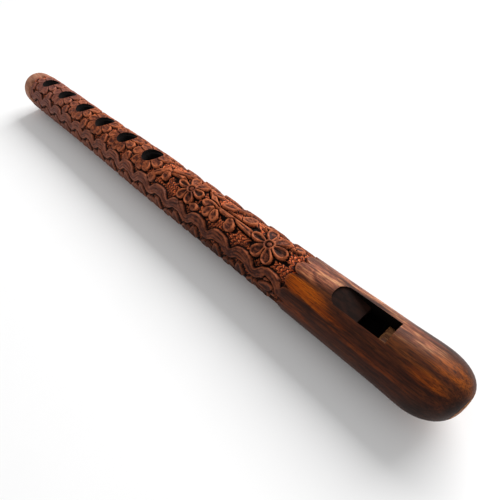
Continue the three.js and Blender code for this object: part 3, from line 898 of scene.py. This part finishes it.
def window_plan():
    """Plan of the window: square at the windway, and round at the ramp's far end."""
    half = WINDOW_WIDTH / 2
    plan = [(WINDOW_STATION, half), (WINDOW_STATION, -half)]
    for side in (-1, 1):
        for turn in np.linspace(0, math.pi / 2, 10):
            turn = turn if side < 0 else math.pi / 2 - turn
            plan.append((WINDOW_END - RAMP_END_ROUND + RAMP_END_ROUND * math.sin(turn),
                         side * (half - RAMP_END_ROUND + RAMP_END_ROUND * math.cos(turn))))
    return lofted_object("plan_tool", [
        [(station, side, height) for station, side in plan] for height in (0, REACH)
    ])


def window_tool():
    """Window and ramp: a side profile, kept inside the plan."""
    lip = WINDOW_STATION + LIP_SETBACK
    tool = profile_object("window_tool", (
        (WINDOW_STATION - OVERRUN, 0),
        (lip, 0),
        (lip, HEAD_RADIUS - LIP_DEPTH),
        (WINDOW_END, HEAD_RADIUS - RAMP_END_DEPTH),
        (WINDOW_END + OVERRUN, HEAD_RADIUS - RAMP_END_DEPTH),
        (WINDOW_END + OVERRUN, REACH),
        (WINDOW_STATION - OVERRUN, REACH),
    ), WINDOW_WIDTH + OVERRUN)
    cut(tool, [window_plan()], "INTERSECT")
    return tool


def block_tool():
    return profile_object("block_tool", (
        (-OVERRUN, -REACH),
        (BLOCK_END, -REACH),
        (BLOCK_END, WINDWAY_FLOOR - BLOCK_CHAMFER),
        (BLOCK_END - BLOCK_CHAMFER, WINDWAY_FLOOR),
        (-OVERRUN, WINDWAY_FLOOR),
    ), 2 * REACH)


def from_tip(elements, name):
    """Places of vertices or faces, in millimetres from the tip on the bore's axis."""
    places = np.empty(len(elements) * 3)
    elements.foreach_get(name, places)
    return places.reshape(-1, 3) / MM - TIP


def thin_out(piece):
    """Takes faces from the carved stretch where they show least."""
    mesh = piece.data
    station = from_tip(mesh.vertices, "co")[:, 0]
    group = piece.vertex_groups.new(name="carved")
    group.add(np.nonzero(station > CARVED_STATION - 1)[0].tolist(), 1.0, "REPLACE")
    triangles = sum(len(p.vertices) - 2 for p in mesh.polygons)
    if triangles > FACES_KEPT:
        modifier = piece.modifiers.new("thin", "DECIMATE")
        modifier.ratio = FACES_KEPT / triangles
        modifier.vertex_group = "carved"
        apply_modifiers(piece)
    piece.vertex_groups.clear()


# Patches on the plain head: amber places in the wood, painted sheen where light catches the top,
# and painted shade on the tip, the camera's flank and the underside. Each has station, turn, half
# length along the flute, half width in degrees, and strength.
AMBER_PATCHES = (
    (61.0, 34.0, 15.0, 17.0, 1.0),
    (50.0, 44.0, 15.0, 8.0, 0.6),
    (60.0, 80.0, 13.0, 20.0, 0.36),
    (8.0, -4.0, 9.0, 24.0, 0.38),
    (11.5, 30.0, 8.0, 14.0, 0.44),
    (30.0, 58.0, 20.0, 10.0, 0.36),
)
# Painted sheen: highlights on the top of the head and above the block
PAINTED_SHEEN_PATCHES = (
    (61.0, -10.0, 15.0, 28.0, 1.0),
    (44.0, -46.0, 26.0, 20.0, 0.8),
    (22.0, -22.0, 13.0, 30.0, 0.62),
)
# Painted shade: the camera's flank, the tip's front and the underside
PAINTED_SHADE_PATCHES = (
    (28.0, 92.0, 26.0, 28.0, 0.34),
    (3.0, 92.0, 14.0, 40.0, 1.1),
    (0.0, 62.0, 4.6, 62.0, 1.2),
    (30.0, 170.0, 40.0, 60.0, 0.5),
)

# Where the stain and the painted shade on the lower flanks change: turns out from the hole line,
# and stations. A hollow is measured from the average within a reach, and a cut is marked with some
# slack.
SIDE_TURNS = (38, 58)
UNDER_TURNS = (74, 100)
HOLES_STATIONS = (CARVED_STATION + 30, FIRST_HOLE_STATION + 4)
FAR_STATIONS = (FIRST_HOLE_STATION + 50, LAST_HOLE_STATION)
CAVITY_REACH = 0.9
MARK_SLACK = 0.05


def patches(table, station, turn):
    """How much of these soft round patches there is at each place."""
    total = np.zeros(len(station))
    for middle, middle_turn, half_length, half_width, strength in table:
        gap = turn_gap(turn, middle_turn)
        away = np.hypot((station - middle) / half_length, gap / half_width)
        total = np.maximum(total, strength * smooth(1.25, 0.35, away))
    return total


def sampler(relief, station, turn):
    """Reader of the relief's grids at these places, blended between their points."""
    shifted = station + scallop_slide(station) * scallop_shift(turn)
    row = np.interp(shifted, relief.rings, np.arange(len(relief.rings)))
    column = (turn + 180) / 360 * SIDES - 0.5
    low = np.floor(row).astype(int)
    high = np.minimum(low + 1, len(relief.rings) - 1)
    left = np.floor(column).astype(int) % SIDES
    right = (left + 1) % SIDES
    u = row - low
    v = column - np.floor(column)

    def sample(grid):
        near = grid[low, left] * (1 - v) + grid[low, right] * v
        far = grid[high, left] * (1 - v) + grid[high, right] * v
        return near * (1 - u) + far * u

    return sample


def add_values(mesh, domain, values):
    for name, value in values.items():
        attribute = mesh.attributes.new(name, "FLOAT", domain)
        attribute.data.foreach_set("value", np.asarray(value, np.float32))


def paint_relief(mesh, relief):
    """Gives each vertex what its material needs to know of the carving."""
    station, side, up = from_tip(mesh.vertices, "co").T
    turn = np.degrees(np.arctan2(side, up))
    out = np.abs(turn_gap(turn, HOLE_TURN))
    sample = sampler(relief, station, turn)
    rows, cells = gouge_cells(station, turn)
    edge = station + scallop_shift(turn)
    add_values(mesh, "POINT", {
        "rows": rows,
        "cells": cells,
        "amber": patches(AMBER_PATCHES, station, turn),
        # Painted sheen and painted shade on the plain head
        "painted_sheen": patches(PAINTED_SHEEN_PATCHES, station, turn),
        "painted_shade": patches(PAINTED_SHADE_PATCHES, station, turn),
        "height": sample(relief.height),
        "side": smooth(*SIDE_TURNS, out),
        # Painted shade on the lower flanks of the carving
        "under": smooth(*UNDER_TURNS, out),
        "holes": smooth(*HOLES_STATIONS, station),
        "far": smooth(*FAR_STATIONS, station),
        "cavity": sample(relief.height - blur(relief.height, CAVITY_REACH)),
        "ground": sample(relief.ground),
        "polish": 1 - smooth(CARVED_STATION - 0.5, CARVED_STATION + 0.5, edge),
        "rim": smooth(FOOT_RIM_STATION, FOOT_RIM_STATION + 1, station),
    })


def paint_cuts(mesh):
    """Marks the faces inside the window, and those inside the bore and the finger holes."""
    station, side, up = from_tip(mesh.polygons, "center").T
    in_window = (past_window(station, side) < MARK_SLACK) & (up > 0)
    drilled = np.hypot(side, up) < BORE_RADIUS + MARK_SLACK
    lean = math.radians(HOLE_TURN)
    beside = side * math.cos(lean) - up * math.sin(lean)
    for hole in HOLE_STATIONS:
        drilled |= (past_hole(station - hole, beside) < MARK_SLACK) & (up > 0)
    add_values(mesh, "FACE", {"window": in_window, "drilled": drilled & ~in_window})


def dress(piece, crease, material):
    """Smooth shading up to a crease angle in degrees, and one material."""
    piece.data.shade_smooth()
    piece.data.set_sharp_from_angle(angle=math.radians(crease))
    piece.data.materials.clear()
    piece.data.materials.append(material)


def colour(tint):
    """Linear light of a picture editor's colour, three values up to 255. The rest stays."""
    if not isinstance(tint, tuple) or len(tint) != 3:
        return tint
    shares = [value / 255 for value in tint]
    return (*(s / 12.92 if s <= 0.04045 else ((s + 0.055) / 1.055) ** 2.4 for s in shares), 1.0)


class Nodes:
    """Short calls for building one material's node tree."""

    def __init__(self, name):
        self.material = bpy.data.materials.new(name)
        self.material.use_nodes = True
        self.tree = self.material.node_tree
        self.tree.nodes.clear()

    def add(self, kind, inputs=(), **settings):
        node = self.tree.nodes.new(kind)
        for key, value in settings.items():
            setattr(node, key, value)
        for key, value in dict(inputs).items():
            self.set(node.inputs[key], value)
        return node

    def set(self, socket, value):
        if isinstance(value, bpy.types.NodeSocket):
            self.tree.links.new(value, socket)
        else:
            socket.default_value = value

    def math(self, operation, a, b=0.0):
        return self.add("ShaderNodeMath", {0: a, 1: b}, operation=operation).outputs[0]

    def plus(self, total, *values):
        for value in values:
            total = self.math("ADD", total, value)
        return total

    def minus(self, a, b):
        return self.math("SUBTRACT", a, b)

    def times(self, product, *values):
        for value in values:
            product = self.math("MULTIPLY", product, value)
        return product

    def blend(self, *shares):
        """Sum of values, each times its share."""
        return self.plus(*(self.times(value, share) for value, share in shares))

    def fraction(self, value):
        return self.math("FRACT", value)

    def fit(self, value, low, high, start=0.0, end=1.0):
        """Maps low to high smoothly onto start to end."""
        node = self.add("ShaderNodeMapRange", {
            "Value": value, "From Min": low, "From Max": high, "To Min": start, "To Max": end,
        }, interpolation_type="SMOOTHSTEP")
        return node.outputs["Result"]

    def mix(self, share, a, b):
        inputs = {0: share, 6: colour(a), 7: colour(b)}
        return self.add("ShaderNodeMix", inputs, data_type="RGBA").outputs[2]

    def coats(self, base, *layers):
        """A colour under layers, each with the share that it covers and its colour."""
        for share, tint in layers:
            base = self.mix(share, base, tint)
        return base

    def attribute(self, name):
        return self.add("ShaderNodeAttribute", attribute_name=name).outputs["Fac"]

    def place(self):
        return self.add("ShaderNodeTexCoord").outputs["Object"]

    def streaks(self, along, across, detail=4.0, distortion=0.0, shift=0.0):
        """Noise drawn out along the flute, with these wavelengths in metres."""
        mapping = self.add("ShaderNodeMapping", {
            "Vector": self.place(),
            "Location": (shift, shift * 0.7, shift * 1.3),
            "Scale": (1 / along, 1 / across, 1 / across),
        })
        noise = self.add("ShaderNodeTexNoise", {
            "Vector": mapping.outputs["Vector"], "Scale": 1.0, "Detail": detail,
            "Roughness": 0.6, "Distortion": distortion,
        })
        return noise.outputs["Fac"]

    def ramp(self, value, *stops):
        node = self.add("ShaderNodeValToRGB", {"Fac": value})
        elements = node.color_ramp.elements
        while len(elements) < len(stops):
            elements.new(0.5)
        for element, (place, tint) in zip(elements, stops):
            element.position = place
            element.color = colour(tint)
        return node.outputs["Color"]

    def gouges(self):
        """Thumbnail cuts, 0 at the deep edge of a cut and 1 on the ridge before the next."""
        sway = self.minus(self.streaks(0.005, 0.005, detail=1.0, shift=6.1), 0.5)
        sway = self.times(sway, 2.4)
        rows = self.plus(self.attribute("rows"), sway)
        odd = self.math("FLOOR", self.times(self.fraction(self.times(rows, 0.5)), 2.0))
        aside = self.math("POWER", self.minus(self.fraction(rows), 0.5), 2.0)
        shares = ((odd, 0.5), (aside, GOUGE_BOW), (sway, 0.6))
        return self.fraction(self.plus(
            self.attribute("cells"), *(self.times(value, share) for value, share in shares)))

    def bump(self, height, distance, strength=1.0, normal=None):
        node = self.add("ShaderNodeBump", {
            "Height": height, "Distance": distance, "Strength": strength,
        })
        if normal is not None:
            self.set(node.inputs["Normal"], normal)
        return node.outputs["Normal"]

    def finish(self, **inputs):
        """Links the shader's inputs, whose names are written with underscores."""
        shader = self.add("ShaderNodeBsdfPrincipled")
        for key, value in inputs.items():
            self.set(shader.inputs[key.replace("_", " ")], value)
        self.add("ShaderNodeOutputMaterial", {"Surface": shader.outputs[0]})
        return self.material


def head_wood(n, tone, grain, streak):
    """Polished head wood: red-brown with amber patches, and painted sheen and painted shade."""
    wood = n.ramp(tone, (0.0, (44, 19, 12)), (0.35, (66, 30, 16)),
                  (0.7, (82, 40, 18)), (1.0, (100, 52, 21)))
    amber = n.ramp(tone, (0.0, (128, 52, 2)), (0.5, (160, 71, 3)),
                   (1.0, (190, 94, 10)))
    broad = n.streaks(0.011, 0.0035, detail=3.0, distortion=1.0, shift=6.6)
    sheen_tone = n.fit(n.blend((streak, 0.34), (grain, 0.26), (broad, 0.4)), 0.4, 0.6)
    painted_sheen = n.ramp(sheen_tone, (0.0, (108, 60, 46)), (0.4, (150, 86, 62)),
                  (0.75, (190, 118, 80)), (1.0, (222, 158, 110)))
    painted_shade = n.ramp(tone, (0.0, (22, 13, 10)), (1.0, (60, 34, 25)))
    ragged = n.times(n.minus(grain, 0.5), 0.7)
    # Painted shade darkens the tip, flank and underside, and a painted sheen lightens the top;
    # amber is the wood's own colour
    for name, patch, most in (("painted_shade", painted_shade, 0.9), ("painted_sheen", painted_sheen, 0.85), ("amber", amber, 0.95)):
        share = n.fit(n.plus(n.attribute(name), ragged), 0.1, 0.9, 0.0, most)
        wood = n.mix(share, wood, patch)
    return wood


def carved_wood(n, gouge, mottle):
    """Stained wood of the carving: its motifs and ground, edges lighter from wear and painted
    highlights, and hollows dark from stain and painted shade.
    """
    side, holes, far, cavity = map(n.attribute, ("side", "holes", "far", "cavity"))
    rough = n.blend((mottle, 0.45), (n.streaks(0.0025, 0.0013, detail=3.0, shift=8.3), 0.55))
    rough_tone = n.fit(rough, 0.4, 0.6)

    # The cuts' red-brown, with painted shade at the deep edge of each cut and a painted highlight
    # on the ridge before the next
    ground = n.ramp(gouge, (0.0, (28, 10, 8)), (0.3, (72, 27, 18)),
                    (0.6, (184, 80, 42)), (0.9, (244, 134, 78)),
                    (1.0, (100, 40, 24)))
    ground = n.coats(
        ground,
        (n.fit(rough, 0.5, 0.3), (56, 22, 14)),
        (n.times(side, 0.6), (34, 16, 12)),
    )

    stained = n.times(side, n.fit(holes, 0, 1, 0.5, 0.55))
    carved = n.ramp(rough_tone, (0.0, (58, 25, 17)), (0.45, (97, 47, 31)),
                    (1.0, (151, 81, 51)))
    carved = n.coats(
        carved,
        (n.times(holes, 0.45), n.mix(rough_tone, (84, 34, 19), (166, 86, 46))),
        (stained, n.mix(holes, (58, 30, 23), (110, 66, 55))),
        (n.times(far, 0.65), (120, 74, 66)),
        # Painted shade on the lower flanks, lighter among the finger holes
        (n.times(n.attribute("under"), n.fit(holes, 0, 1, 0.7, 0.4)), (38, 21, 16)),
    )

    patchy = n.fit(n.streaks(0.006, 0.004, detail=2.0, shift=1.1), 0.36, 0.6, 0.25, 1.0)
    # Raised edges lightened: partly wear, partly a painted highlight
    wear_and_highlight = n.times(n.fit(cavity, 0.08, 0.4), n.minus(0.82, stained), patchy)
    glint = n.times(n.fit(cavity, 0.05, 0.3), n.times(side, holes), 0.22)
    return n.coats(
        n.mix(n.attribute("ground"), carved, ground),
        (wear_and_highlight, n.mix(far, (188, 104, 64), (166, 106, 86))),
        (glint, (172, 122, 104)),
        # Hollows and the deepest pockets darkened: partly dark stain, partly painted shade
        (n.times(n.fit(cavity, 0.03, -0.3), 0.93), (18, 8, 6)),
        (n.times(n.fit(n.attribute("height"), -1.55, -1.95), 0.85), (12, 6, 5)),
    )


def window_wood(n):
    """Wood inside the window: a scraped ramp between side walls in near-black painted shade."""
    aside = n.add("ShaderNodeSeparateXYZ", {"Vector": n.place()}).outputs["Y"]
    half_window = WINDOW_WIDTH / 2 * MM
    on_ramp = n.fit(n.math("ABSOLUTE", aside), half_window * 0.995, half_window * 0.97)
    scrapes = n.fit(n.streaks(0.003, 0.0016, shift=2.9), 0.35, 0.7)
    # Side walls in near-black painted shade, the ramp between them scraped wood
    return n.mix(on_ramp, (12, 6, 4), n.mix(scrapes, (22, 9, 5), (38, 18, 11)))


def rosewood():
    n = Nodes("rosewood")
    bands = n.streaks(0.09, 0.009, detail=3.0, distortion=0.8, shift=3.1)
    grain = n.streaks(0.02, 0.0018, detail=5.0, distortion=0.4, shift=1.7)
    fine = n.streaks(0.0045, 0.0003, detail=2.0, shift=7.9)
    mottle = n.streaks(0.006, 0.004, detail=4.0, distortion=0.5, shift=5.3)
    streak = n.streaks(0.014, 0.0009, detail=4.0, distortion=0.3, shift=9.2)
    tone = n.fit(n.blend((bands, 0.42), (grain, 0.33), (streak, 0.25)), 0.36, 0.65)
    gouge = n.gouges()
    polish, window, drilled = map(n.attribute, ("polish", "window", "drilled"))
    head = n.coats(
        head_wood(n, tone, grain, streak),
        (n.times(n.fit(fine, 0.47, 0.6), 0.6), (28, 13, 8)),
        (n.times(n.fit(mottle, 0.52, 0.66), 0.35), (34, 17, 11)),
    )
    base = n.coats(
        carved_wood(n, gouge, mottle),
        (polish, head),
        (n.attribute("rim"), n.ramp(tone, (0.0, (132, 82, 62)), (1.0, (182, 128, 100)))),
        (window, window_wood(n)),
        # Painted shade: dark grey inside the bore and the finger holes
        (drilled, (22, 19, 18)),
    )
    rough = n.plus(n.times(polish, -0.12), 0.52, n.times(fine, 0.12),
                   n.times(n.plus(window, drilled), 0.3))
    unpolished = n.minus(1.0, polish)
    knife = n.times(n.streaks(0.0016, 0.0011, detail=2.0, shift=4.4), unpolished)
    cuts = n.times(gouge, n.times(n.attribute("ground"), unpolished))
    normal = n.bump(fine, 0.00006, 0.5)
    normal = n.bump(grain, 0.00025, 0.4, normal)
    normal = n.bump(knife, 0.0005, 0.8, normal)
    normal = n.bump(cuts, 0.0004, 0.8, normal)
    return n.finish(Base_Color=base, Roughness=rough, Normal=normal, Specular_IOR_Level=0.1)


def pale_wood():
    n = Nodes("pale_wood")
    grain = n.streaks(0.02, 0.0012, detail=5.0, distortion=0.5, shift=2.3)
    wood = n.ramp(n.fit(grain, 0.35, 0.65), (0.0, (94, 52, 29)), (0.5, (140, 86, 48)),
                  (1.0, (176, 120, 72)))
    return n.finish(Base_Color=wood, Roughness=0.75, Normal=n.bump(grain, 0.0002, 0.6))


def floor_material():
    n = Nodes("floor_white")
    speck = n.streaks(0.02, 0.02, detail=2.0)
    tint = n.ramp(speck, (0.0, (0.9, 0.9, 0.9, 1)), (1.0, (0.92, 0.92, 0.92, 1)))
    return n.finish(Base_Color=tint, Roughness=0.9)


# Crease angles in degrees, and how many of the skin's rings go round the block
BODY_CREASE = 55
BLOCK_CREASE = 30
HEAD_RINGS = 60


def carved_body(relief, rings):
    piece = skin_object("carved_body", rings)
    tools = [bar_object("bore_tool", BORE_RADIUS, FLUTE_LENGTH), window_tool()]
    cut(piece, tools + [hole_tool(station) for station in HOLE_STATIONS])
    thin_out(piece)
    paint_relief(piece.data, relief)
    paint_cuts(piece.data)
    dress(piece, BODY_CREASE, rosewood())
    return piece


def windway_block(rings):
    """The plug, cut to the windway's floor and to the outside of the head's first rings."""
    piece = bar_object("windway_block", BORE_RADIUS - BLOCK_GAP, BLOCK_END)
    cut(piece, [block_tool(), skin_object("mouth_tool", rings[:HEAD_RINGS])], "INTERSECT")
    dress(piece, BLOCK_CREASE, pale_wood())
    return piece


relief = make_relief()
rings = skin_points(relief)
body = carved_body(relief, rings)
block = windway_block(rings)
for piece, node, slot in ((body, "flute_body", "rosewood"), (block, "fipple_block", "pale_wood")):
    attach(piece, "root")
    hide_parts(node)

# Floor, lamp and camera, in metres, with the roll in degrees and the lens in millimetres
FLOOR_HALF = 3.0
KEY_PLACE = (0.0, -0.71, 0.56)
KEY_SIZE = (0.8, 0.5)
KEY_POWER = 10.0
WORLD_STRENGTH = 0.58
CAMERA_PLACE = (-0.16171, 0.0685, 0.12627 + AXIS_HEIGHT * MM)
CAMERA_AIM = (-0.06777, 0.00151, AXIS_HEIGHT * MM)
CAMERA_ROLL = 8.722
CAMERA_LENS = 29.56
CAMERA_SENSOR = 36.0
CAMERA_NEAR = 0.005


def look_at(thing, place, aim, roll=0.0):
    """Puts a lamp or camera at a place, facing an aim, rolled by an angle in degrees."""
    facing = (Vector(aim) - Vector(place)).to_track_quat("-Z", "Y").to_matrix()
    thing.location = place
    thing.rotation_euler = (facing @ Matrix.Rotation(math.radians(-roll), 3, "Z")).to_euler()


def add_floor():
    mesh = bpy.data.meshes.new("floor")
    corners = ((-1, -1), (1, -1), (1, 1), (-1, 1))
    mesh.from_pydata([(x * FLOOR_HALF, y * FLOOR_HALF, 0) for x, y in corners], [], [(0, 1, 2, 3)])
    mesh.materials.append(floor_material())
    add_object("floor", mesh)


def add_lights():
    """One large soft lamp on the far side, and an even white surround."""
    light = bpy.data.lights.new("key_light", "AREA")
    light.shape = "RECTANGLE"
    light.size, light.size_y = KEY_SIZE
    light.energy = KEY_POWER
    look_at(add_object("key_light", light), KEY_PLACE, (0, 0, 0))
    world = bpy.data.worlds.new("studio")
    world.use_nodes = True
    background = world.node_tree.nodes["Background"]
    background.inputs["Color"].default_value = (1, 1, 1, 1)
    background.inputs["Strength"].default_value = WORLD_STRENGTH
    bpy.context.scene.world = world


def add_camera():
    camera = add_object("camera", bpy.data.cameras.new("camera"))
    camera.data.lens = CAMERA_LENS
    camera.data.sensor_width = CAMERA_SENSOR
    camera.data.clip_start = CAMERA_NEAR
    look_at(camera, CAMERA_PLACE, CAMERA_AIM, CAMERA_ROLL)
    bpy.context.scene.camera = camera


add_floor()
add_lights()
add_camera()
bpy.context.scene.view_settings.view_transform = "Standard"
